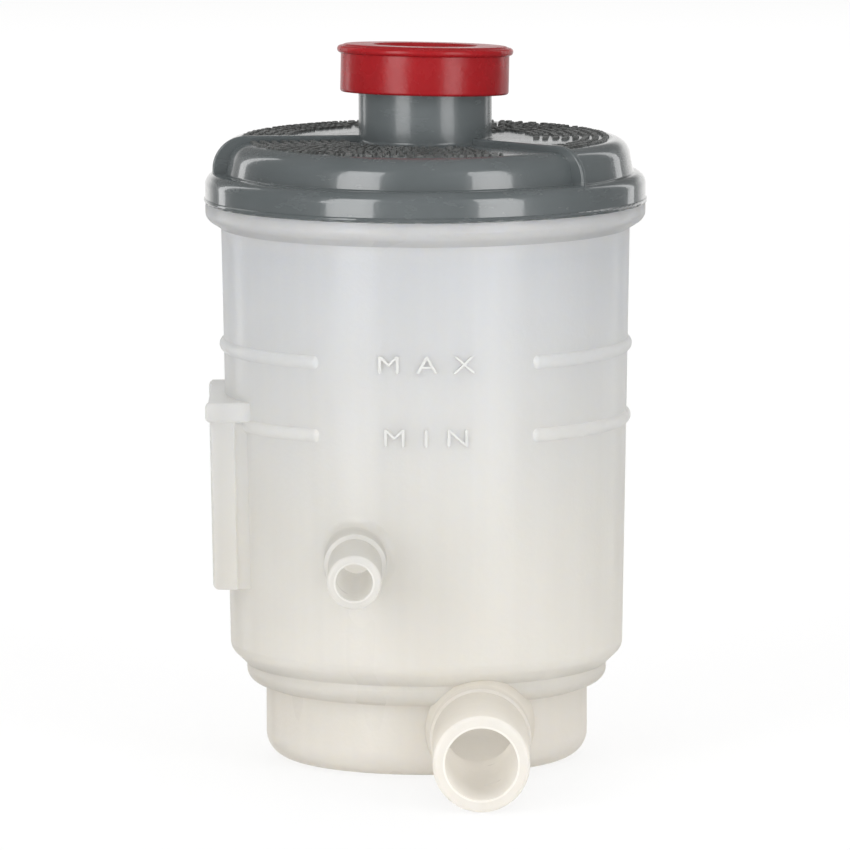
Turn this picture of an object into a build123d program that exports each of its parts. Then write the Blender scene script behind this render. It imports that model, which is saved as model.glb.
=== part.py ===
# Power steering fluid reservoir: a moulded nylon cup with a welded-on lid, a push-on filler cap
# and a strainer inside. Millimetres. The origin is on the cup's axis at its base, +Z is up,
# both hose nipples point to -Y (the front) and the mounting bracket is on -X.
import math
import os

from build123d import *

# Cup: from the base up, how far each step stands out and how high its parts are; each step's
# underside slopes up to a rounded corner
base_radius = 29.3
base_fillet = 4.5
base_band_height = 13.2
mid_step = 3.5
mid_slope_height = 1.3
mid_fillet = 2.6
mid_band_height = 2.8
shoulder_step = 2.95
shoulder_slope_height = 2.8
shoulder_fillet = 2.7
wall_height = 79.7
wall_draft = 1.4
flange_proud = 2.85
flange_slope_height = 1.8
flange_band_height = 2.9
flange_fillet = 1.9
flange_wall = 3.8
cup_wall = 2.2
inner_ledge_fillet = 1.2

# Fluid level ribs: round beads sunk in the wall, which stop short of the front
upper_level_height = 75.7
lower_level_height = 62.5
level_rib_height = 2.4
level_rib_proud = 0.75
level_rib_gap_angle = 63.0
level_rib_end_rounding = 0.9

# Return nipple, the small one
return_across = -12.7
return_height = 41.0
return_radius = 4.8
return_bore_radius = 3.3
return_tip = 67.0
return_stop_proud = 0.8
return_stop = 45.0
return_root_fillet = 1.5

# Outlet nipple, the large one: its underside is just above the base
outlet_across = 9.6
outlet_above_base = 0.2
outlet_radius = 8.6
outlet_bore_radius = 6.45
outlet_tip = 68.0
outlet_stop_proud = 0.5
outlet_stop = 39.5
outlet_root_proud = 1.9
outlet_root_length = 7.5
outlet_root_sunk = 2.0

# Both nipples: rounding of the open end, the hose stop's rounding and how steeply it drops
nipple_tip_rounding = 0.7
nipple_stop_rounding = 0.3
nipple_stop_drop = 0.4

# Bracket slot: two L-shaped rails under a stop shelf, for a forked sheet-metal stay
rail_outer_width = 35.6
rail_bottom = 32.8
rail_reach = 3.35
rail_taper = 0.55
rail_leg_wall = 3.2
rail_leg_depth = 4.4
rail_step = 0.8
rail_lip_wall = 1.3
rail_lip_length = 3.4
rail_rounding = 0.6
rail_inner_rounding = 0.2
rail_foot_rounding = 1.2
shelf_bottom = 63.3
shelf_wall = 3.5
shelf_overhang = 0.2
shelf_bead_proud = 0.55
shelf_bead_width = 3.0
shelf_bead_rounding = 0.95

# Lid: weld rim, ledge and dome; the front sector of the dome is set back and lower
lid_wall = 2.0
rim_overhang = 0.05
rim_height = 5.3
rim_rounding = 2.1
rim_inner_height = 3.2
ledge_width = 2.25
ledge_fillet = 0.25
weld_bead_radius = 0.42
weld_bead_sunk = 0.15
dome_rise = 6.1
dome_draft = 1.1
dome_rounding = 3.2
front_dome_setback = 1.5
front_dome_drop = 0.5
front_dome_rounding = 4.0
front_sector_left = -87.0
front_sector_right = 47.5

# Blade ribs: upright radial ribs at both ends of the front sector
blade_proud = 2.0
blade_rise = 0.6
blade_width = 1.1
blade_rounding = 6.0
blade_top_rounding = 0.33
blade_sunk = 1.0

# Filler neck, one piece with the lid
neck_radius = 12.1
neck_wall = 1.7
neck_length = 13.5
neck_fillet = 0.6
neck_lip_proud = 0.9
neck_lip_height = 1.7
neck_lip_slope = 0.8
neck_inner_length = 3.0
neck_end_rounding = 0.4

# Filler cap: a push-on cap with a hollow plug; it sits a little crooked on the neck
cap_skirt_gap = 0.8
cap_height = 8.75
cap_wall = 1.5
cap_top_wall = 2.6
cap_bead_radius = 0.7
cap_bead_below_top = 1.0
cap_top_rounding = 0.9
cap_edge_rounding = 0.5
cap_recess_slope = 1.4
cap_plug_gap = 0.65
cap_plug_wall = 1.45
cap_plug_length = 5.2
cap_floor_wall = 1.5
cap_lean_back = 2.8
cap_lean_side = 1.3
cap_seat_gap = 0.15

# Seal ring in a groove round the cap's plug
seal_width = 1.6
seal_rounding = 0.5
seal_bore_clearance = 0.3
seal_groove_depth = 0.8
seal_below_plate = 2.0

# Strainer: a ring and spokes that rest on the cup's inner ledge, with a screen under the spokes
strainer_clearance = 0.3
strainer_flange_wall = 1.5
strainer_flange_rounding = 0.4
strainer_spigot_wall = 1.5
strainer_spigot_length = 3.4
strainer_spokes = 6
strainer_spoke_width = 1.6
strainer_hub_radius = 4.0
screen_wall = 0.5
screen_seat = 0.7
screen_clearance = 0.05

# Worked out from the sizes above: the cup
mid_corner_height = base_band_height + mid_slope_height
mid_radius = base_radius + mid_step
shoulder_height = mid_corner_height + mid_band_height
shoulder_corner_height = shoulder_height + shoulder_slope_height
shoulder_radius = mid_radius + shoulder_step
top_radius = shoulder_radius + wall_draft
flange_height = shoulder_height + wall_height
flange_corner_height = flange_height + flange_slope_height
flange_radius = top_radius + flange_proud
flange_inner_radius = flange_radius - flange_wall
weld_height = flange_corner_height + flange_band_height
cup_slope = wall_draft / wall_height
inner_ledge_height = shoulder_height + cup_wall
inner_mid_radius = mid_radius - cup_wall
outlet_height = outlet_radius + outlet_above_base

# The lid, its neck and the cap on it
rim_radius = flange_radius + rim_overhang
ledge_height = weld_height + rim_height
dome_radius = rim_radius - ledge_width - dome_draft
dome_height = ledge_height + dome_rise
front_dome_radius = dome_radius - front_dome_setback
front_dome_height = dome_height - front_dome_drop
neck_bore_radius = neck_radius - neck_wall
neck_lip_radius = neck_radius + neck_lip_proud
neck_height = dome_height + neck_length
cap_radius = neck_lip_radius + cap_skirt_gap + cap_wall
cap_plug_radius = neck_bore_radius - cap_plug_gap
lean_cosine = math.cos(math.radians(cap_lean_back)) * math.cos(math.radians(cap_lean_side))
cap_lean = math.degrees(math.acos(lean_cosine))


def half_section(corners):
    # A face on the XZ plane from (radius, height, rounding) corners, listed in order round it
    points = [(radius, height) for radius, height, rounding in corners]
    roundings = [rounding for radius, height, rounding in corners]
    return Plane.XZ * make_face(FilletPolyline(*points, radius=roundings, close=True))


def turned(corners, start=0.0, sweep=360.0):
    # The half section turned about Z, from the angle start (from +X) through sweep degrees
    return Rot(0, 0, start) * revolve(half_section(corners), Axis.Z, revolution_arc=sweep)


def cup_radius_at(height):
    # Outer radius of the drafted wall at a height above the shoulder
    return shoulder_radius + cup_slope * (height - shoulder_height)


def cup_outside():
    return turned([
        (0, 0, 0),
        (base_radius, 0, base_fillet),
        (base_radius, base_band_height, 0),
        (mid_radius, mid_corner_height, mid_fillet),
        (mid_radius, shoulder_height, 0),
        (shoulder_radius, shoulder_corner_height, shoulder_fillet),
        (top_radius, flange_height, 0),
        (flange_radius, flange_corner_height, flange_fillet),
        (flange_radius, weld_height, 0),
        (0, weld_height, 0),
    ])


def cup_inside():
    # The chamber follows the outside one wall further in, with the strainer's ledge at the shoulder
    floor_radius = base_radius - cup_wall
    inner_flange_height = flange_corner_height + cup_wall / 2
    return turned([
        (0, cup_wall, 0),
        (floor_radius, cup_wall, base_fillet - cup_wall),
        (floor_radius, base_band_height + cup_wall, 0),
        (inner_mid_radius, base_band_height + cup_wall, mid_fillet / 2),
        (inner_mid_radius, inner_ledge_height, 0),
        (shoulder_radius - cup_wall, inner_ledge_height, inner_ledge_fillet),
        (top_radius - cup_wall, flange_height, 0),
        (flange_inner_radius, inner_flange_height, 0),
        (flange_inner_radius, weld_height + 1, 0),
        (0, weld_height + 1, 0),
    ])


def inside_wall(outer_radius, half_span):
    # How far from the axis a flat root lies that is still in the wall at half_span to the side
    return math.sqrt((outer_radius - cup_wall / 2) ** 2 - half_span**2)


def level_rib(height):
    # A bead sunk in the wall with only its crest standing proud, open at the front
    half = level_rib_height / 2
    bead_radius = (half**2 + level_rib_proud**2) / (2 * level_rib_proud)
    ring_radius = cup_radius_at(height) + level_rib_proud - bead_radius
    section = Plane.XZ * (Pos(ring_radius, height) * Circle(bead_radius))
    bead = revolve(section, Axis.Z, revolution_arc=360 - level_rib_gap_angle)
    ends = bead.edges().sort_by(SortBy.LENGTH)[:2]
    bead = fillet(ends, level_rib_end_rounding)
    return Rot(0, 0, level_rib_gap_angle / 2 - 90) * bead


def hose_length(radius, stop_radius, stop, tip, start):
    # Turned about its own axis, from start out: the stouter root, the hose stop, the hose length
    return turned([
        (0, start, 0),
        (stop_radius, start, 0),
        (stop_radius, stop, nipple_stop_rounding),
        (radius, stop + nipple_stop_drop, 0),
        (radius, tip, nipple_tip_rounding),
        (0, tip, 0),
    ])


def return_nipple():
    stop_radius = return_radius + return_stop_proud
    start = inside_wall(cup_radius_at(return_height), abs(return_across) + stop_radius)
    nipple = hose_length(return_radius, stop_radius, return_stop, return_tip, start)
    return Pos(return_across, 0, return_height) * Rot(90, 0, 0) * nipple


def outlet_nipple():
    # Its root widens down to the wall there, which faces a little sideways; what would reach
    # below the cup's base is cut off level with it
    stop_radius = outlet_radius + outlet_stop_proud
    root_radius = outlet_radius + outlet_root_proud
    start = inside_wall(base_radius, outlet_across + root_radius)
    nipple = hose_length(outlet_radius, stop_radius, outlet_stop, outlet_tip, start)
    nipple = Pos(outlet_across, 0, outlet_height) * Rot(90, 0, 0) * nipple
    wall_y = -math.sqrt(base_radius**2 - outlet_across**2)
    facing = math.degrees(math.asin(outlet_across / base_radius))
    on_wall = Pos(outlet_across, wall_y + outlet_root_sunk, outlet_height) * Rot(0, 0, facing) * Rot(90, 0, 0)
    in_front = Pos(outlet_across, wall_y - outlet_root_length, outlet_height) * Rot(90, 0, 0)
    root = loft([on_wall * Circle(root_radius), in_front * Circle(stop_radius)])
    above_base = Pos(0, -outlet_tip / 2, outlet_tip / 2) * Box(4 * flange_radius, 2 * outlet_tip, outlet_tip)
    return (nipple + root) & above_base


def is_return_root(edge):
    # The closed edge where the return nipple's root meets the wall
    middle = edge.center(CenterOf.BOUNDING_BOX)
    near = math.hypot(middle.X - return_across, middle.Z - return_height) < return_radius
    size = edge.bounding_box().size
    return near and size.Z > 2 * return_radius and -return_stop + 1 < middle.Y < 0


def nipple_bore(across, height, radius, tip):
    # Cut from the open end back into the chamber
    bore_tip = tip + 1
    return Pos(across, -bore_tip / 2, height) * Rot(90, 0, 0) * Cylinder(radius, bore_tip)


def rail_section(side, height, reach):
    # The L seen from below at one height: a leg out from the wall and a lip turned inwards
    outer = rail_outer_width / 2
    inner = outer - rail_leg_wall
    root = -inside_wall(cup_radius_at(height), outer)
    neck = -(reach - rail_leg_depth)
    lip_rounding = rail_rounding / 2
    corners = [
        (root, inner, 0),
        (-(reach - rail_lip_wall), inner, 0),
        (-(reach - rail_lip_wall), inner - rail_lip_length, lip_rounding),
        (-reach, inner - rail_lip_length, lip_rounding),
        (-reach, outer, rail_rounding),
        (neck, outer, rail_inner_rounding),
        (neck, outer - rail_step, rail_inner_rounding),
        (root, outer - rail_step, 0),
    ]
    points = [(x, side * y) for x, y, rounding in corners]
    roundings = [rounding for x, y, rounding in corners]
    return Pos(0, 0, height) * make_face(FilletPolyline(*points, radius=roundings, close=True))


def foot_corner(reach):
    # What is cut off the rails' lower outer corner to round it
    across = 2 * rail_outer_width
    middle_x = rail_foot_rounding - reach
    middle_height = rail_bottom + rail_foot_rounding
    block = Pos(middle_x - rail_foot_rounding, 0, middle_height - rail_foot_rounding) * Box(
        2 * rail_foot_rounding, across, 2 * rail_foot_rounding
    )
    return block - Pos(middle_x, 0, middle_height) * Rot(90, 0, 0) * Cylinder(rail_foot_rounding, across)


def rail(side):
    # One L-shaped rail, lofted between its lower and upper sections; side is -1 for the front one
    top_reach = shoulder_radius + rail_reach
    top = shelf_bottom + shelf_wall / 2
    lower = rail_section(side, rail_bottom, top_reach - rail_taper)
    upper = rail_section(side, top, top_reach)
    reach_above_foot = top_reach - rail_taper * (1 - rail_foot_rounding / (top - rail_bottom))
    return loft([lower, upper]) - foot_corner(reach_above_foot)


def shelf():
    # The stop over the slot, with a bead along each end
    half_width = rail_outer_width / 2
    reach = shoulder_radius + rail_reach + shelf_overhang
    root = inside_wall(cup_radius_at(shelf_bottom), half_width + shelf_bead_proud)
    middle_height = shelf_bottom + shelf_wall / 2
    plate = Pos(-(reach + root) / 2, 0, middle_height) * Box(reach - root, 2 * half_width, shelf_wall)
    bead_reach = reach + shelf_bead_proud
    bead_middle = half_width + shelf_bead_proud - shelf_bead_width / 2
    bead_length = bead_reach - root
    bead = Pos(-(bead_reach + root) / 2, 0, middle_height) * Box(bead_length, shelf_bead_width, shelf_wall)
    bead = fillet(bead.edges().filter_by(Axis.Y).group_by(Axis.X)[0], shelf_bead_rounding)
    bead = fillet(bead.edges().filter_by(Axis.X), rail_rounding)
    return plate + Pos(0, bead_middle, 0) * bead + Pos(0, -bead_middle, 0) * bead


def make_reservoir_body():
    cup = cup_outside()
    cup += [level_rib(upper_level_height), level_rib(lower_level_height)]
    cup += [rail(-1), rail(1), shelf()]
    cup += return_nipple()
    cup = fillet(cup.edges().filter_by(is_return_root), return_root_fillet)
    cup += outlet_nipple()
    cup -= cup_inside()
    cup -= nipple_bore(return_across, return_height, return_bore_radius, return_tip)
    cup -= nipple_bore(outlet_across, outlet_height, outlet_bore_radius, outlet_tip)
    return cup


def dome_sector(radius, height, rounding, start, sweep):
    # One sector of the lid's shell from the rim inwards, as a closed section
    rim_inner = flange_inner_radius
    inner_ledge = weld_height + rim_inner_height
    return turned([
        (rim_inner, weld_height, 0),
        (rim_radius, weld_height, 0),
        (rim_radius, ledge_height, rim_rounding),
        (radius + dome_draft, ledge_height, ledge_fillet),
        (radius, height, rounding),
        (neck_radius, height, neck_fillet),
        (neck_radius, height + 2 * neck_fillet, 0),
        (neck_bore_radius, height + 2 * neck_fillet, 0),
        (neck_bore_radius, height - lid_wall, 0),
        (radius - lid_wall, height - lid_wall, rounding - lid_wall),
        (radius + dome_draft - lid_wall, inner_ledge, 0),
        (rim_inner, inner_ledge, 0),
    ], start, sweep)


def blade(azimuth):
    # An upright radial rib from the neck to just inside the rim, azimuth measured from the front
    inner = neck_radius - lid_wall / 2
    under = front_dome_height - lid_wall / 2
    corner = front_dome_radius - lid_wall / 2
    foot = ledge_height - blade_sunk
    reach = dome_radius + blade_proud
    top = dome_height + blade_rise
    outline = FilletPolyline(
        (inner, under),
        (corner, under),
        (corner, foot),
        (reach, foot),
        (reach, top),
        (inner, top),
        radius=[0, 0, 0, 0, blade_rounding, 0],
        close=True,
    )
    rib = extrude(Plane.XZ * make_face(outline), blade_width / 2, both=True)
    top_edges = rib.edges().filter_by(GeomType.CIRCLE).group_by(SortBy.LENGTH)[-1]
    rib = fillet(top_edges, blade_top_rounding)
    return Rot(0, 0, azimuth - 90) * rib


def neck():
    below = front_dome_height - lid_wall - neck_inner_length
    deck = front_dome_height - lid_wall / 2
    lip_bottom = neck_height - neck_lip_height
    stub_radius = neck_radius - neck_end_rounding
    return turned([
        (neck_bore_radius, below, neck_end_rounding),
        (stub_radius, below, neck_end_rounding),
        (stub_radius, deck, 0),
        (neck_radius, deck, 0),
        (neck_radius, lip_bottom - neck_lip_slope, 0),
        (neck_lip_radius, lip_bottom, neck_end_rounding),
        (neck_lip_radius, neck_height, neck_end_rounding),
        (neck_bore_radius, neck_height, neck_end_rounding),
    ])


def weld_bead():
    # The bead squeezed out along the weld, on the lid's side of the joint
    bead = Pos(rim_radius - weld_bead_sunk, weld_height + weld_bead_radius) * Circle(weld_bead_radius)
    return revolve(Plane.XZ * bead, Axis.Z)


def make_lid():
    sector = front_sector_right - front_sector_left
    front_start = front_sector_left - 90
    lid = dome_sector(front_dome_radius, front_dome_height, front_dome_rounding, front_start, sector)
    rear_start = front_sector_right - 90
    lid += dome_sector(dome_radius, dome_height, dome_rounding, rear_start, 360 - sector)
    lid += [blade(front_sector_left), blade(front_sector_right)]
    lid += neck()
    lid += weld_bead()
    return lid


def place_cap(piece):
    # From the cap's own frame, with its plate's underside at z = 0, onto the neck
    seat = neck_height + neck_lip_radius * math.tan(math.radians(cap_lean)) + cap_seat_gap
    return Pos(0, 0, seat) * Rot(-cap_lean_back, cap_lean_side, 0) * piece


def make_filler_cap():
    skirt_bottom = cap_top_wall - cap_height
    skirt_inner = cap_radius - cap_wall
    floor_top = -cap_plug_length + cap_floor_wall
    recess_inner = cap_plug_radius - cap_plug_wall
    recess_mouth = recess_inner + cap_recess_slope
    groove_top = -seal_below_plate
    groove_bottom = groove_top - seal_width
    groove_floor = cap_plug_radius - seal_groove_depth
    bead_middle = cap_top_wall - cap_bead_below_top
    cap = turned([
        (0, floor_top, 0),
        (recess_inner, floor_top, cap_edge_rounding),
        (recess_inner, cap_top_wall - cap_recess_slope, cap_edge_rounding),
        (recess_mouth, cap_top_wall, cap_edge_rounding),
        (cap_radius, cap_top_wall, cap_top_rounding),
        (cap_radius, skirt_bottom, cap_edge_rounding),
        (skirt_inner, skirt_bottom, cap_edge_rounding),
        (skirt_inner, 0, cap_edge_rounding),
        (cap_plug_radius, 0, 0),
        (cap_plug_radius, groove_top, 0),
        (groove_floor, groove_top, 0),
        (groove_floor, groove_bottom, 0),
        (cap_plug_radius, groove_bottom, 0),
        (cap_plug_radius, -cap_plug_length, cap_edge_rounding),
        (0, -cap_plug_length, 0),
    ])
    bead = Pos(cap_radius, bead_middle) * Circle(cap_bead_radius)
    cap += revolve(Plane.XZ * bead, Axis.Z)
    return place_cap(cap)


def make_cap_seal():
    inner = cap_plug_radius - seal_groove_depth
    outer = neck_bore_radius - seal_bore_clearance
    top = -seal_below_plate
    bottom = top - seal_width
    ring = turned([
        (inner, bottom, 0),
        (outer, bottom, seal_rounding),
        (outer, top, seal_rounding),
        (inner, top, 0),
    ])
    return place_cap(ring)


def make_strainer_frame():
    flange_outer = shoulder_radius - cup_wall - inner_ledge_fillet - strainer_clearance
    spigot_outer = inner_mid_radius - strainer_clearance
    spigot_inner = spigot_outer - strainer_spigot_wall
    flange_top = inner_ledge_height + strainer_flange_wall
    spigot_bottom = inner_ledge_height - strainer_spigot_length
    screen_top = inner_ledge_height - screen_seat
    screen_bottom = screen_top - screen_wall
    groove = spigot_inner + screen_seat
    ring = turned([
        (spigot_inner, spigot_bottom, 0),
        (spigot_outer, spigot_bottom, strainer_flange_rounding),
        (spigot_outer, inner_ledge_height, 0),
        (flange_outer, inner_ledge_height, 0),
        (flange_outer, flange_top, strainer_flange_rounding),
        (spigot_inner, flange_top, strainer_flange_rounding),
        (spigot_inner, screen_top, 0),
        (groove, screen_top, 0),
        (groove, screen_bottom, 0),
        (spigot_inner, screen_bottom, 0),
    ])
    spoke_height = flange_top - screen_top
    spoke_length = spigot_inner + strainer_spigot_wall / 2
    middle = screen_top + spoke_height / 2
    ring += Pos(0, 0, middle) * Cylinder(strainer_hub_radius, spoke_height)
    for number in range(strainer_spokes):
        spoke = Pos(spoke_length / 2, 0, middle) * Box(spoke_length, strainer_spoke_width, spoke_height)
        ring += Rot(0, 0, number * 360 / strainer_spokes) * spoke
    return ring


def make_strainer_screen():
    spigot_inner = inner_mid_radius - strainer_clearance - strainer_spigot_wall
    radius = spigot_inner + screen_seat - screen_clearance
    top = inner_ledge_height - screen_seat
    return Pos(0, 0, top - screen_wall / 2) * Cylinder(radius, screen_wall)


parts = {
    "reservoir_body": make_reservoir_body(),
    "lid": make_lid(),
    "filler_cap": make_filler_cap(),
    "cap_seal": make_cap_seal(),
    "strainer_frame": make_strainer_frame(),
    "strainer_screen": make_strainer_screen(),
}

os.makedirs("parts", exist_ok=True)
for name, shape in parts.items():
    export_step(shape, f"parts/{name}.step")
    print(name, round(shape.volume, 1), "mm3")
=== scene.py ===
import bpy
import math
import random
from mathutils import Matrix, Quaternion, Vector


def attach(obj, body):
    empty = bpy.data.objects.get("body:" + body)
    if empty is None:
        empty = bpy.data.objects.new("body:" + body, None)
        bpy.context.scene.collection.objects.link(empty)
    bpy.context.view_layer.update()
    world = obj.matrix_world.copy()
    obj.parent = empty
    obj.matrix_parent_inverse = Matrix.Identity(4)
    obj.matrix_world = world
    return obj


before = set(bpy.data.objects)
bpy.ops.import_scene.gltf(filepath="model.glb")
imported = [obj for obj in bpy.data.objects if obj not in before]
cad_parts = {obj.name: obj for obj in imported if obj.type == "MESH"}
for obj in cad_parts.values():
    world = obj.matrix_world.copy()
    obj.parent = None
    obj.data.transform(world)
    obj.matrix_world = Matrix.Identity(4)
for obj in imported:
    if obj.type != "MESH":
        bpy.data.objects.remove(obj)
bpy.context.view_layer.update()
mm = 0.001
print("frame loaded")


# camera: seen slightly from above, through a long lens
cameraSet = {
    "place": (-0.00018, -1.751, 0.2817),
    "target": (-0.00018, 0.0, 0.0605),
    "lens": 409.98,  # mm on a 36 mm wide sensor
    "roll": -0.15,  # degrees
}


def makeCamera(use):
    data = bpy.data.cameras.new("photoCamera")
    data.sensor_fit = "HORIZONTAL"
    data.sensor_width = 36.0
    data.lens = use["lens"]
    data.clip_start, data.clip_end = 0.05, 50.0
    camera = bpy.data.objects.new("photoCamera", data)
    bpy.context.scene.collection.objects.link(camera)
    camera.location = use["place"]
    aim = Vector(use["target"]) - Vector(use["place"])
    camera.rotation_mode = "QUATERNION"
    turn = Quaternion((0, 0, 1), math.radians(use["roll"]))
    camera.rotation_quaternion = aim.to_track_quat("-Z", "Y") @ turn
    bpy.context.scene.camera = camera


# studio: upright softboxes at azimuths from the front, left is negative; their lower ends show
# only in what the plastic reflects
studioSet = {
    "worldLight": (0.12, 0.75),  # at the horizon and overhead
    "worldTint": (1.0, 0.995, 0.985),
    "skyTop": 0.8,  # how steeply up a ray points where the overhead light is reached
    "backdropLight": 0.5,
    "backdropTurn": (0.80, 0.92),  # how straight back a ray points where the backdrop starts
    "glossLight": (0.17, 1.0),  # what shines in the plastic: all round, and low at the back
    "glossTop": (0.14, 0.30),  # how steeply up a ray points where that backdrop ends
    "boxes": [
        {"azimuth": -39, "away": 0.75, "width": 0.34, "power": 3.7},
        {"azimuth": 39, "away": 0.75, "width": 0.32, "power": 3.2},
        {"azimuth": -131, "away": 0.75, "width": 0.11, "power": 0.6},
        {"azimuth": 134, "away": 0.75, "width": 0.11, "power": 0.45},
    ],
    "boxBottom": -0.12,
    "boxTop": 0.74,
    "dullBoxes": {  # place, target, size and power; not seen in what the object reflects
        "overheadBox": ((0, -0.2, 1.6), (0, 0, 0.1), (1.2, 1.2), 3.0),
        "rearBox": ((0.1, 1.5, 0.9), (0, 0, 0.08), (1.4, 0.8), 9.0),
        "frontFill": ((0, -1.7, 0.16), (0, 0, 0.04), (0.4, 0.2), 4.5),
    },
    "floorReach": 9.0,
    "floorDrop": 0.05 * mm,
    "paperShade": 0.93,
    "floorShade": 0.22,  # how much of its own shading the floor shows
}


def addSoftbox(name, place, target, size, power, shines):
    lamp = bpy.data.lights.new(name, "AREA")
    lamp.shape = "RECTANGLE"
    lamp.size, lamp.size_y = size
    lamp.energy = power
    box = bpy.data.objects.new(name, lamp)
    bpy.context.scene.collection.objects.link(box)
    box.visible_camera = False
    box.visible_glossy = shines
    box.location = place
    box.rotation_mode = "QUATERNION"
    box.rotation_quaternion = (Vector(target) - Vector(place)).to_track_quat("-Z", "Y")


def addMath(nodes, links, operation, first, second):
    node = nodes.new("ShaderNodeMath")
    node.operation = operation
    for socket, value in zip(node.inputs, (first, second)):
        if isinstance(value, float):
            socket.default_value = value
        else:
            links.new(value, socket)
    return node.outputs[0]


def addRange(nodes, links, value, low, high, fromLow=0.3, fromHigh=0.7):
    span = nodes.new("ShaderNodeMapRange")
    span.inputs["From Min"].default_value = fromLow
    span.inputs["From Max"].default_value = fromHigh
    span.inputs["To Min"].default_value = low
    span.inputs["To Max"].default_value = high
    links.new(value, span.inputs["Value"])
    return span.outputs["Result"]


def seenDirectly(nodes, links, path):
    # 1 for camera and transmission rays
    seen, through = path.outputs["Is Camera Ray"], path.outputs["Is Transmission Ray"]
    return addMath(nodes, links, "MAXIMUM", seen, through)


def addMix(nodes, links, share, first, second):
    mix = nodes.new("ShaderNodeMixShader")
    links.new(share, mix.inputs["Fac"])
    links.new(first, mix.inputs[1])
    links.new(second, mix.inputs[2])
    return mix.outputs[0]


def makeWorld(use):
    world = bpy.data.worlds.new("paleRoom")
    bpy.context.scene.world = world
    world.use_nodes = True
    nodes, links = world.node_tree.nodes, world.node_tree.links
    nodes.clear()
    out = nodes.new("ShaderNodeOutputWorld")
    seen = nodes.new("ShaderNodeBackground")
    seen.inputs["Color"].default_value = (1, 1, 1, 1)
    seen.inputs["Strength"].default_value = 1.0
    lit = nodes.new("ShaderNodeBackground")
    lit.inputs["Color"].default_value = (*use["worldTint"], 1)
    sky = nodes.new("ShaderNodeTexCoord")
    split = nodes.new("ShaderNodeSeparateXYZ")
    links.new(sky.outputs["Generated"], split.inputs[0])
    up, back = split.outputs["Z"], split.outputs["Y"]
    level = addRange(nodes, links, up, *use["worldLight"], 0.0, use["skyTop"])
    backdrop = addRange(nodes, links, back, 0.0, use["backdropLight"], *use["backdropTurn"])
    light = addMath(nodes, links, "MAXIMUM", level, backdrop)
    behind = addRange(nodes, links, back, *use["glossLight"], *use["backdropTurn"])
    lowDown = addRange(nodes, links, up, 1.0, 0.0, *use["glossTop"])
    behind = addMath(nodes, links, "MULTIPLY", behind, lowDown)
    shine = addMath(nodes, links, "MAXIMUM", behind, use["glossLight"][0])
    path = nodes.new("ShaderNodeLightPath")
    strength = nodes.new("ShaderNodeMix")
    links.new(path.outputs["Is Glossy Ray"], strength.inputs["Factor"])
    links.new(light, strength.inputs["A"])
    links.new(shine, strength.inputs["B"])
    links.new(strength.outputs["Result"], lit.inputs["Strength"])
    chosen = seenDirectly(nodes, links, path)
    shown = addMix(nodes, links, chosen, lit.outputs[0], seen.outputs[0])
    links.new(shown, out.inputs["Surface"])
    bpy.context.scene.view_settings.view_transform = "Standard"


def addLamps(use):
    middle = (use["boxTop"] + use["boxBottom"]) / 2
    tall = use["boxTop"] - use["boxBottom"]
    for number, box in enumerate(use["boxes"]):
        a = math.radians(box["azimuth"])
        place = (math.sin(a) * box["away"], -math.cos(a) * box["away"], middle)
        size = (box["width"], tall)
        addSoftbox(f"softbox{number}", place, (0, 0, middle), size, box["power"], True)
    for name, (place, target, size, power) in use["dullBoxes"].items():
        addSoftbox(name, place, target, size, power, False)


def addFloor(use):
    mesh = bpy.data.meshes.new("paleFloor")
    half, low = use["floorReach"], -use["floorDrop"]
    corners = [(-half, -half, low), (half, -half, low), (half, half, low), (-half, half, low)]
    mesh.from_pydata(corners, [], [(0, 1, 2, 3)])
    floor = bpy.data.objects.new("paleFloor", mesh)
    floor.visible_glossy = False  # what shines shows the pale world in its place
    bpy.context.scene.collection.objects.link(floor)
    material = bpy.data.materials.new("palePaper")
    material.use_nodes = True
    nodes, links = material.node_tree.nodes, material.node_tree.links
    nodes.clear()
    out = nodes.new("ShaderNodeOutputMaterial")
    paper = nodes.new("ShaderNodeBsdfDiffuse")
    shade = use["paperShade"]
    paper.inputs["Color"].default_value = (shade, shade, shade, 1)
    glow = nodes.new("ShaderNodeEmission")
    glow.inputs["Color"].default_value = (1, 1, 1, 1)
    glow.inputs["Strength"].default_value = 1.0
    chosen = seenDirectly(nodes, links, nodes.new("ShaderNodeLightPath"))
    share = addMath(nodes, links, "MULTIPLY", chosen, 1.0 - use["floorShade"])
    shown = addMix(nodes, links, share, paper.outputs[0], glow.outputs[0])
    links.new(shown, out.inputs["Surface"])
    mesh.materials.append(material)


makeCamera(cameraSet)
makeWorld(studioSet)
addLamps(studioSet)
addFloor(studioSet)
print("camera and studio made")


# materials; a noise is given as its scale, detail, roughness and stretch
def startMaterial(name):
    material = bpy.data.materials.new(name)
    material.use_nodes = True
    tree = material.node_tree
    return material, tree.nodes, tree.links, tree.nodes["Principled BSDF"]


def setInputs(shader, values):
    for name, value in values.items():
        shader.inputs[name].default_value = value


def addNoise(nodes, links, scale, detail=4.0, rough=0.55, stretch=(1, 1, 1)):
    place = nodes.new("ShaderNodeTexCoord")
    mapping = nodes.new("ShaderNodeMapping")
    mapping.inputs["Scale"].default_value = stretch
    noise = nodes.new("ShaderNodeTexNoise")
    noise.inputs["Scale"].default_value = scale
    noise.inputs["Detail"].default_value = detail
    noise.inputs["Roughness"].default_value = rough
    links.new(place.outputs["Object"], mapping.inputs["Vector"])
    links.new(mapping.outputs["Vector"], noise.inputs["Vector"])
    return noise.outputs["Fac"]


def addRamp(nodes, links, value, stops):
    ramp = nodes.new("ShaderNodeValToRGB")
    links.new(value, ramp.inputs["Fac"])
    elements = ramp.color_ramp.elements
    while len(elements) < len(stops):
        elements.new(0.5)
    for element, (at, colour) in zip(elements, stops):
        element.position = at
        element.color = (*colour, 1)
    return ramp.outputs["Color"]


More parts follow.
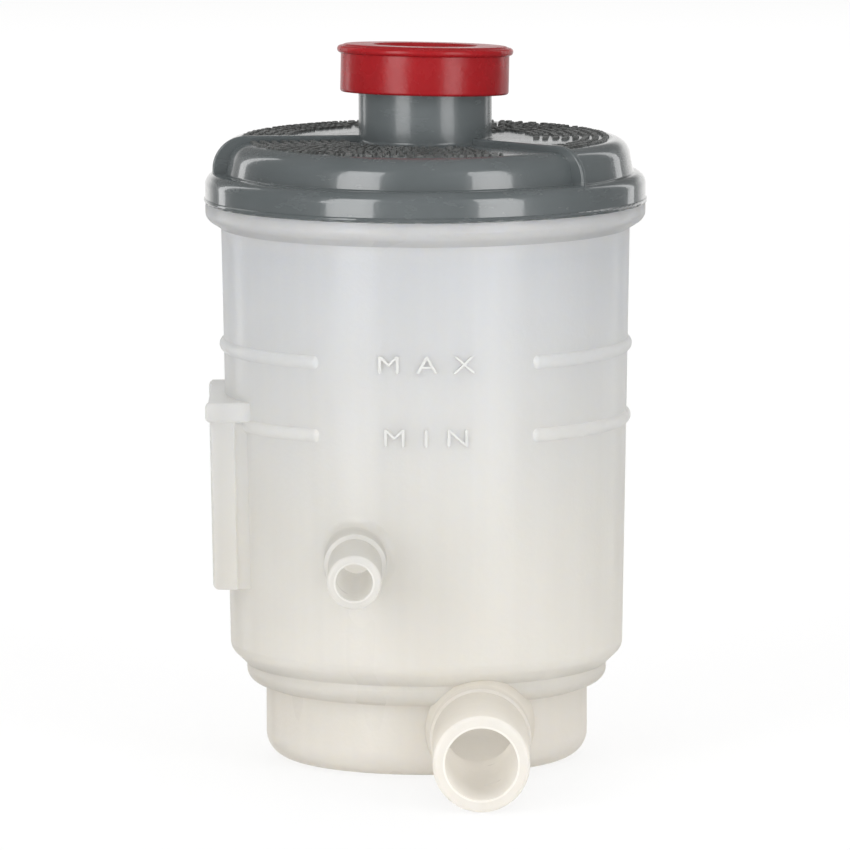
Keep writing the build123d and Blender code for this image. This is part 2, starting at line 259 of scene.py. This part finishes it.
def addCloud(nodes, links, shader, use):
    # patchy colour from dark to light
    cloud = addNoise(nodes, links, *use["cloud"])
    colour = addRamp(nodes, links, cloud, [(0.3, use["dark"]), (0.7, use["light"])])
    links.new(colour, shader.inputs["Base Color"])
    return cloud, colour


def addBump(nodes, links, shader, values, distance, strength):
    last = None
    for value, share in values:
        bump = nodes.new("ShaderNodeBump")
        bump.inputs["Strength"].default_value = strength * share
        bump.inputs["Distance"].default_value = distance
        links.new(value, bump.inputs["Height"])
        if last is not None:
            links.new(last, bump.inputs["Normal"])
        last = bump.outputs["Normal"]
    links.new(last, shader.inputs["Normal"])
    return last


def splitPlace(nodes, links):
    place = nodes.new("ShaderNodeTexCoord")
    split = nodes.new("ShaderNodeSeparateXYZ")
    links.new(place.outputs["Object"], split.inputs[0])
    return place, split.outputs["Z"]


def addReach(nodes, links, place, start, along):
    # distance from an axis that passes through start
    away = nodes.new("ShaderNodeVectorMath")
    away.operation = "SUBTRACT"
    away.inputs[1].default_value = start
    links.new(place.outputs["Object"], away.inputs[0])
    flat = nodes.new("ShaderNodeVectorMath")
    flat.operation = "MULTIPLY"
    flat.inputs[1].default_value = along
    links.new(away.outputs["Vector"], flat.inputs[0])
    reach = nodes.new("ShaderNodeVectorMath")
    reach.operation = "LENGTH"
    links.new(flat.outputs["Vector"], reach.inputs[0])
    return reach.outputs["Value"]


nylonSet = {
    "top": 100.0 * mm,  # the height that the ramp's places are shares of
    "toneAndPaintedLight": [  # linear, from the bottom up to the flange; partly the nylon's own warm tone, partly painted light: lighter near the bottom, painted shade under the lid, lifted again at the flange
        (0.0, (0.965, 0.94, 0.898)),
        (0.45, (0.872, 0.862, 0.836)),
        (0.94, (0.812, 0.824, 0.842)),
        (0.98, (0.885, 0.885, 0.885)),
    ],
    "proudPaintedShade": 0.10,  # painted shade on the nipples and rails, which light reaches from all round
    "proudRadius": (38.0 * mm, 41.0 * mm),
    "proudBelow": (93.0 * mm, 96.0 * mm),
    "bores": (  # across, height and radius; no painted shade in there
        (-12.7 * mm, 41.0 * mm, 3.6 * mm),
        (9.6 * mm, 8.8 * mm, 6.8 * mm),
    ),
    "cloud": (26.0, 3.0, 0.5, (1, 1, 0.5)),
    "cloudSwing": 0.03,
    "stripe": (420.0, 1.0, 0.5, (1, 1, 0.01)),
    "stripeSwing": 0.007,
    "wave": (60.0, 2.0, 0.5, (1, 1, 0.35)),
    "grain": (900.0, 2.0),
    "grainShare": 0.35,
    "bump": (0.4 * mm, 0.35),  # distance and strength
    "rough": (0.26, 0.38),
    "throughLight": 0.62,
    "shader": {
        "IOR": 1.53,
        "Subsurface Weight": 0.85,
        "Subsurface Radius": (1.0, 0.93, 0.80),
        "Subsurface Scale": 0.003,
        "Coat Weight": 0.7,
        "Coat Roughness": 0.2,
    },
}


def makeNylon(use):
    material, nodes, links, shader = startMaterial("naturalNylon")
    setInputs(shader, use["shader"])
    place, height = splitPlace(nodes, links)
    # painted light and shade by height, laid over the nylon's own tone
    level = addRange(nodes, links, height, 0.0, 1.0, 0.0, use["top"])
    base = addRamp(nodes, links, level, use["toneAndPaintedLight"])
    cloud = addNoise(nodes, links, *use["cloud"])
    value = addRange(nodes, links, cloud, 1.0 - use["cloudSwing"], 1.0 + use["cloudSwing"])
    stripe = addNoise(nodes, links, *use["stripe"])
    stripe = addRange(nodes, links, stripe, -use["stripeSwing"], use["stripeSwing"])
    value = addMath(nodes, links, "ADD", value, stripe)
    # painted shade: the nipples and rails out past the wall are darkened, below the flange and
    # outside their bores
    reach = addReach(nodes, links, place, (0, 0, 0), (1, 1, 0))
    paintedShade = addRange(nodes, links, reach, 0.0, use["proudPaintedShade"], *use["proudRadius"])
    below = addRange(nodes, links, height, 1.0, 0.0, *use["proudBelow"])
    paintedShade = addMath(nodes, links, "MULTIPLY", paintedShade, below)
    for across, high, radius in use["bores"]:
        reach = addReach(nodes, links, place, (across, 0, high), (1, 0, 1))
        inBore = addMath(nodes, links, "LESS_THAN", reach, radius)
        outside = addMath(nodes, links, "SUBTRACT", 1.0, inBore)
        paintedShade = addMath(nodes, links, "MULTIPLY", paintedShade, outside)
    tone = nodes.new("ShaderNodeHueSaturation")
    links.new(addMath(nodes, links, "SUBTRACT", value, paintedShade), tone.inputs["Value"])
    links.new(base, tone.inputs["Color"])
    links.new(tone.outputs["Color"], shader.inputs["Base Color"])
    wave = addNoise(nodes, links, *use["wave"])
    grain = addNoise(nodes, links, *use["grain"])
    links.new(addRange(nodes, links, wave, *use["rough"]), shader.inputs["Roughness"])
    bumps = [(wave, 1.0), (grain, use["grainShare"])]
    normal = addBump(nodes, links, shader, bumps, *use["bump"])
    thin = nodes.new("ShaderNodeBsdfTranslucent")
    links.new(tone.outputs["Color"], thin.inputs["Color"])
    links.new(normal, thin.inputs["Normal"])
    mix = nodes.new("ShaderNodeMixShader")
    mix.inputs["Fac"].default_value = use["throughLight"]
    links.new(shader.outputs[0], mix.inputs[1])
    links.new(thin.outputs[0], mix.inputs[2])
    links.new(mix.outputs[0], nodes["Material Output"].inputs["Surface"])
    return material


def startGlossy(name, use):
    # patchy colour, smeared gloss, and ripples under a fine grain
    material, nodes, links, shader = startMaterial(name)
    setInputs(shader, use["shader"])
    colour = addCloud(nodes, links, shader, use)[1]
    smear = addNoise(nodes, links, *use["smear"])
    links.new(addRange(nodes, links, smear, *use["rough"]), shader.inputs["Roughness"])
    ripple = addNoise(nodes, links, *use["ripple"])
    grain = addNoise(nodes, links, *use["grain"])
    addBump(nodes, links, shader, [(ripple, 1.0), (grain, use["grainShare"])], *use["bump"])
    return material, nodes, links, shader, colour


lidSet = {
    "dark": (0.079, 0.091, 0.094),
    "light": (0.102, 0.115, 0.119),
    "cloud": (45.0, 4.0),
    "smear": (120.0, 5.0, 0.6, (1, 1, 3)),
    "rough": (0.20, 0.30),
    "ripple": (70.0, 2.0),
    "grain": (1400.0, 2.0),
    "grainShare": 0.3,
    "bump": (0.3 * mm, 0.3),
    "coat": (0.3, 1.0),  # on the neck and deck, and on the dome's side
    "deckReach": (33.0 * mm, 34.2 * mm),
    "neckPaintedLight": 1.27,  # painted light: the neck's colour is raised above the deck's to stand for its satin sheen
    "neckFoot": (113.5 * mm, 116.5 * mm),
    "shader": {"IOR": 1.5, "Coat Roughness": 0.07},
}


def makeGreyPlastic(use):
    material, nodes, links, shader, colour = startGlossy("greyLidPlastic", use)
    place, height = splitPlace(nodes, links)
    # painted light: the neck's colour is raised above its foot
    tone = nodes.new("ShaderNodeHueSaturation")
    paintedNeckLight = addRange(nodes, links, height, 1.0, use["neckPaintedLight"], *use["neckFoot"])
    links.new(paintedNeckLight, tone.inputs["Value"])
    links.new(colour, tone.inputs["Color"])
    links.new(tone.outputs["Color"], shader.inputs["Base Color"])
    reach = addReach(nodes, links, place, (0, 0, 0), (1, 1, 0))
    coat = addRange(nodes, links, reach, *use["coat"], *use["deckReach"])
    links.new(coat, shader.inputs["Coat Weight"])
    return material


capSet = {
    "dark": (0.268, 0.006, 0.009),
    "light": (0.325, 0.009, 0.013),
    "cloud": (60.0, 4.0),
    "smear": (150.0, 5.0, 0.6),
    "rough": (0.22, 0.34),
    "ripple": (110.0, 2.0),
    "grain": (1500.0, 2.0),
    "grainShare": 0.4,
    "bump": (0.3 * mm, 0.3),
    "shader": {
        "IOR": 1.5,
        "Specular IOR Level": 0.35,
        "Subsurface Weight": 0.15,
        "Subsurface Radius": (1.0, 0.2, 0.15),
        "Subsurface Scale": 0.0015,
    },
}


def makePlain(name, use):
    # patchy colour with a fine grain
    material, nodes, links, shader = startMaterial(name)
    setInputs(shader, use["shader"])
    cloud = addCloud(nodes, links, shader, use)[0]
    links.new(addRange(nodes, links, cloud, *use["rough"]), shader.inputs["Roughness"])
    addBump(nodes, links, shader, [(addNoise(nodes, links, *use["grain"]), 1.0)], *use["bump"])
    return material


rubberSet = {
    "dark": (0.012, 0.012, 0.013),
    "light": (0.028, 0.028, 0.029),
    "cloud": (220.0, 4.0),
    "rough": (0.5, 0.7),
    "grain": (2200.0, 2.0),
    "bump": (0.2 * mm, 0.3),
    "shader": {},
}
strainerSet = {
    "dark": (0.76, 0.75, 0.70),
    "light": (0.84, 0.83, 0.78),
    "cloud": (70.0, 4.0),
    "rough": (0.38, 0.5),
    "grain": (1200.0, 2.0),
    "bump": (0.2 * mm, 0.3),
    "shader": {},
}
shadedWordSet = {  # the raised strokes let no light through, so they stay crisp; their colour sits below the wall's as painted shade against the front light they catch
    "dark": (0.55, 0.55, 0.54),
    "light": (0.575, 0.575, 0.565),
    "cloud": (300.0, 3.0),
    "rough": (0.5, 0.5),
    "grain": (900.0, 2.0),
    "bump": (0.2 * mm, 0.2),
    "shader": {"Specular IOR Level": 0.25},
}
# the relief's own dark grey, spread patchier and lifted toward light as painted sheen on the
# bars
reliefToneAndSheen = {
    "dark": (0.058, 0.060, 0.058),
    "light": (0.118, 0.124, 0.122),
    "cloud": (500.0, 3.0),
    "rough": (0.32, 0.46),
    "grain": (1400.0, 2.0),
    "bump": (0.2 * mm, 0.3),
    "shader": {"Specular IOR Level": 0.3},
}


screenSet = {
    "thread": (0.70, 0.69, 0.64),
    "hole": (0.30, 0.29, 0.26),
    "edges": (0.45, 0.7),  # where the hole ends and the thread begins
    "pitch": 0.7 * mm,
    "rough": 0.45,
    "bump": (0.2 * mm, 0.8),
}


def makeScreenWeave(use):
    material, nodes, links, shader = startMaterial("strainerWeave")
    place = nodes.new("ShaderNodeTexCoord")
    waves = []
    for axis in ("X", "Y"):
        wave = nodes.new("ShaderNodeTexWave")
        wave.bands_direction = axis
        wave.inputs["Scale"].default_value = math.pi / 10 / use["pitch"]
        links.new(place.outputs["Object"], wave.inputs["Vector"])
        waves.append(wave.outputs["Fac"])
    most = addMath(nodes, links, "MAXIMUM", *waves)
    hole, thread = use["edges"]
    colour = addRamp(nodes, links, most, [(hole, use["hole"]), (thread, use["thread"])])
    links.new(colour, shader.inputs["Base Color"])
    shader.inputs["Roughness"].default_value = use["rough"]
    addBump(nodes, links, shader, [(most, 1.0)], *use["bump"])
    return material


shadedWordNylon = makePlain("raisedNylonPaintedShade", shadedWordSet)
reliefPlastic = makePlain("deckReliefPlastic", reliefToneAndSheen)
greyPlastic = makeGreyPlastic(lidSet)
nodeMaterials = {
    "reservoir_body": makeNylon(nylonSet),
    "lid": greyPlastic,
    "filler_cap": startGlossy("redCapPlastic", capSet)[0],
    "cap_seal": makePlain("sealRubber", rubberSet),
    "strainer_frame": makePlain("strainerPlastic", strainerSet),
    "strainer_screen": makeScreenWeave(screenSet),
}
for nodeName, material in nodeMaterials.items():
    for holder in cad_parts[nodeName].material_slots:
        holder.material = material
print("materials made")


# small pieces on the body and lid
def addPiece(name, verts, faces, material, body, smooth=True):
    mesh = bpy.data.meshes.new(name)
    mesh.from_pydata([tuple(v) for v in verts], [], faces)
    mesh.validate()
    mesh.update()
    for polygon in mesh.polygons:
        polygon.use_smooth = smooth
    mesh.materials.append(material)
    piece = bpy.data.objects.new(name, mesh)
    bpy.context.scene.collection.objects.link(piece)
    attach(piece, body)
    return piece


def roundPlace(azimuth, radius, height):
    # azimuth in degrees from the front, positive to the right
    a = math.radians(azimuth)
    return Vector((radius * math.sin(a), -radius * math.cos(a), height))


cupSet = {
    "shoulderRadius": 35.75 * mm,
    "topRadius": 37.15 * mm,
    "shoulderHeight": 17.3 * mm,
    "flangeHeight": 97.0 * mm,
}


def cupRadius(height):
    use = cupSet
    share = (height - use["shoulderHeight"]) / (use["flangeHeight"] - use["shoulderHeight"])
    return use["shoulderRadius"] + share * (use["topRadius"] - use["shoulderRadius"])


levelWordSet = {
    "words": (("MAX", 75.7 * mm), ("MIN", 62.5 * mm)),
    "letterHeight": 3.3 * mm,
    "capitalShare": 0.73,  # of the font's size
    "spacing": 1.9,
    "wide": 1.3,
    "proud": 0.22 * mm,
    "buried": 0.3 * mm,
}


def addLevelWords(use):
    # raised level words, bent round the wall between the rib ends
    verts, faces = [], []
    for word, height in use["words"]:
        text = bpy.data.curves.new("levelText", "FONT")
        text.body = word
        text.align_x, text.align_y = "CENTER", "CENTER"
        text.size = use["letterHeight"] / use["capitalShare"]
        text.space_character = use["spacing"]
        text.extrude = 0.5 * (use["proud"] + use["buried"])
        text.resolution_u = 3
        carrier = bpy.data.objects.new("levelText", text)
        bpy.context.scene.collection.objects.link(carrier)
        bpy.context.view_layer.update()
        graph = bpy.context.evaluated_depsgraph_get()
        flat = bpy.data.meshes.new_from_object(carrier.evaluated_get(graph))
        start = len(verts)
        for v in flat.vertices:
            z = height + v.co.y
            wall = cupRadius(z)
            depth = v.co.z + 0.5 * (use["proud"] - use["buried"])
            azimuth = math.degrees(v.co.x * use["wide"] / wall)
            verts.append(roundPlace(azimuth, wall + depth, z))
        faces += [[start + i for i in p.vertices] for p in flat.polygons]
        bpy.data.objects.remove(carrier)
        bpy.data.curves.remove(text)
        bpy.data.meshes.remove(flat)
    addPiece("levelWords", verts, faces, shadedWordNylon, "reservoir", smooth=False)


reliefSet = {
    "frontTop": 112.6 * mm,
    "rearTop": 113.1 * mm,
    "frontOuter": 31.9 * mm,
    "rearOuter": 33.4 * mm,
    "inner": 15.0 * mm,
    "rowPitch": 1.8 * mm,
    "barDeep": 1.12 * mm,
    "barHigh": 0.38 * mm,
    "barTaper": 0.12 * mm,
    "buried": 0.2 * mm,
    "barLong": (0.35 * mm, 1.5 * mm),
    "gap": (0.35 * mm, 0.6 * mm),
    "wordBreak": 0.16,  # chance of a wider gap after a bar
    "breakLong": 1.1 * mm,
    "rowStray": 0.18 * mm,
    "sectors": ((-84.5, 45.0, "front"), (50.0, 270.0, "rear")),
    "bare": (  # smooth patches: between two azimuths, out to a radius
        (26.0, 47.0, 40.0 * mm),
        (50.0, 80.0, 28.5 * mm),
        (80.0, 128.0, 18.6 * mm),
        (206.0, 270.0, 24.0 * mm),
    ),
    "seed": 11,
}


def barCorners(azimuth, radius, top, long, use):
    # eight corners of one bar, its top a little smaller than its foot
    corners = []
    for high, shrink in ((-use["buried"], 0.0), (use["barHigh"], use["barTaper"])):
        for across, along in ((-1, -1), (1, -1), (1, 1), (-1, 1)):
            reach = radius + along * (use["barDeep"] / 2 - shrink)
            aside = across * (long / 2 - shrink)
            corners.append(roundPlace(azimuth + math.degrees(aside / radius), reach, top + high))
    return corners


def isBare(azimuth, radius, patches):
    return any(first < azimuth < last and radius < reach for first, last, reach in patches)


def addDeckRelief(use):
    # rows of short raised bars that cover the deck; they spell nothing
    chance = random.Random(use["seed"])
    verts, faces = [], []
    for first, last, side in use["sectors"]:
        radius = use[side + "Outer"] - use["barDeep"] / 2
        while radius > use["inner"]:
            azimuth = first
            while True:
                long = chance.uniform(*use["barLong"])
                turn = math.degrees(long / radius)
                if azimuth + turn > last:
                    break
                middle = azimuth + turn / 2
                a = len(verts)
                row = radius + chance.uniform(-1, 1) * use["rowStray"]
                if not isBare(middle, radius, use["bare"]):
                    verts += barCorners(middle, row, use[side + "Top"], long, use)
                    faces += [[a + 4, a + 5, a + 6, a + 7]]
                    for i in range(4):
                        b = (i + 1) % 4
                        faces.append([a + i, a + b, a + 4 + b, a + 4 + i])
                azimuth += turn + math.degrees(chance.uniform(*use["gap"]) / radius)
                if chance.random() < use["wordBreak"]:
                    azimuth += math.degrees(use["breakLong"] / radius)
            radius -= use["rowPitch"]
    addPiece("deckRelief", verts, faces, reliefPlastic, "reservoir", smooth=False)


flashSet = {
    "weld": 101.72 * mm,
    "inner": 39.7 * mm,
    "outer": (40.0 * mm, 40.28 * mm),
    "high": (0.12 * mm, 0.45 * mm),
    "buried": 0.1 * mm,
    "footBack": 0.05 * mm,
    "topBack": 0.08 * mm,
    "bulge": 0.4,  # share of the height where it reaches farthest out
    "waves": 16,
    "waveTurns": (5, 90),
    "waveShare": (0.3, 1.0),
    "phase": 6.28,
    "swing": 1.8,
    "steps": 720,
    "seed": 5,
}


def addWeldFlash(use):
    # the thin uneven skin of plastic pressed out along the weld
    chance = random.Random(use["seed"])
    waves = []
    for _ in range(use["waves"]):
        turns, phase = chance.randint(*use["waveTurns"]), chance.uniform(0, use["phase"])
        waves.append((turns, phase, chance.uniform(*use["waveShare"])))
    total = sum(share for turns, phase, share in waves)
    verts, faces = [], []
    for step in range(use["steps"]):
        azimuth = 360.0 * step / use["steps"]
        a = math.radians(azimuth)
        wave = sum(share * math.sin(turns * a + phase) for turns, phase, share in waves)
        level = min(1.0, max(0.0, 0.5 + use["swing"] * wave / total))
        reach = use["outer"][0] + level * (use["outer"][1] - use["outer"][0])
        high = use["high"][0] + level * (use["high"][1] - use["high"][0])
        low = use["weld"] - use["buried"]
        verts.append(roundPlace(azimuth, use["inner"], low))
        verts.append(roundPlace(azimuth, reach - use["footBack"], low))
        verts.append(roundPlace(azimuth, reach, low + high * use["bulge"]))
        verts.append(roundPlace(azimuth, reach - use["topBack"], low + high))
        verts.append(roundPlace(azimuth, use["inner"], low + high))
    count = use["steps"]
    for step in range(count):
        a, b = 5 * step, 5 * ((step + 1) % count)
        faces += [[a + i, b + i, b + (i + 1) % 5, a + (i + 1) % 5] for i in range(5)]
    addPiece("weldFlash", verts, faces, greyPlastic, "reservoir")


addLevelWords(levelWordSet)
addDeckRelief(reliefSet)
addWeldFlash(flashSet)
print("trim pieces made")
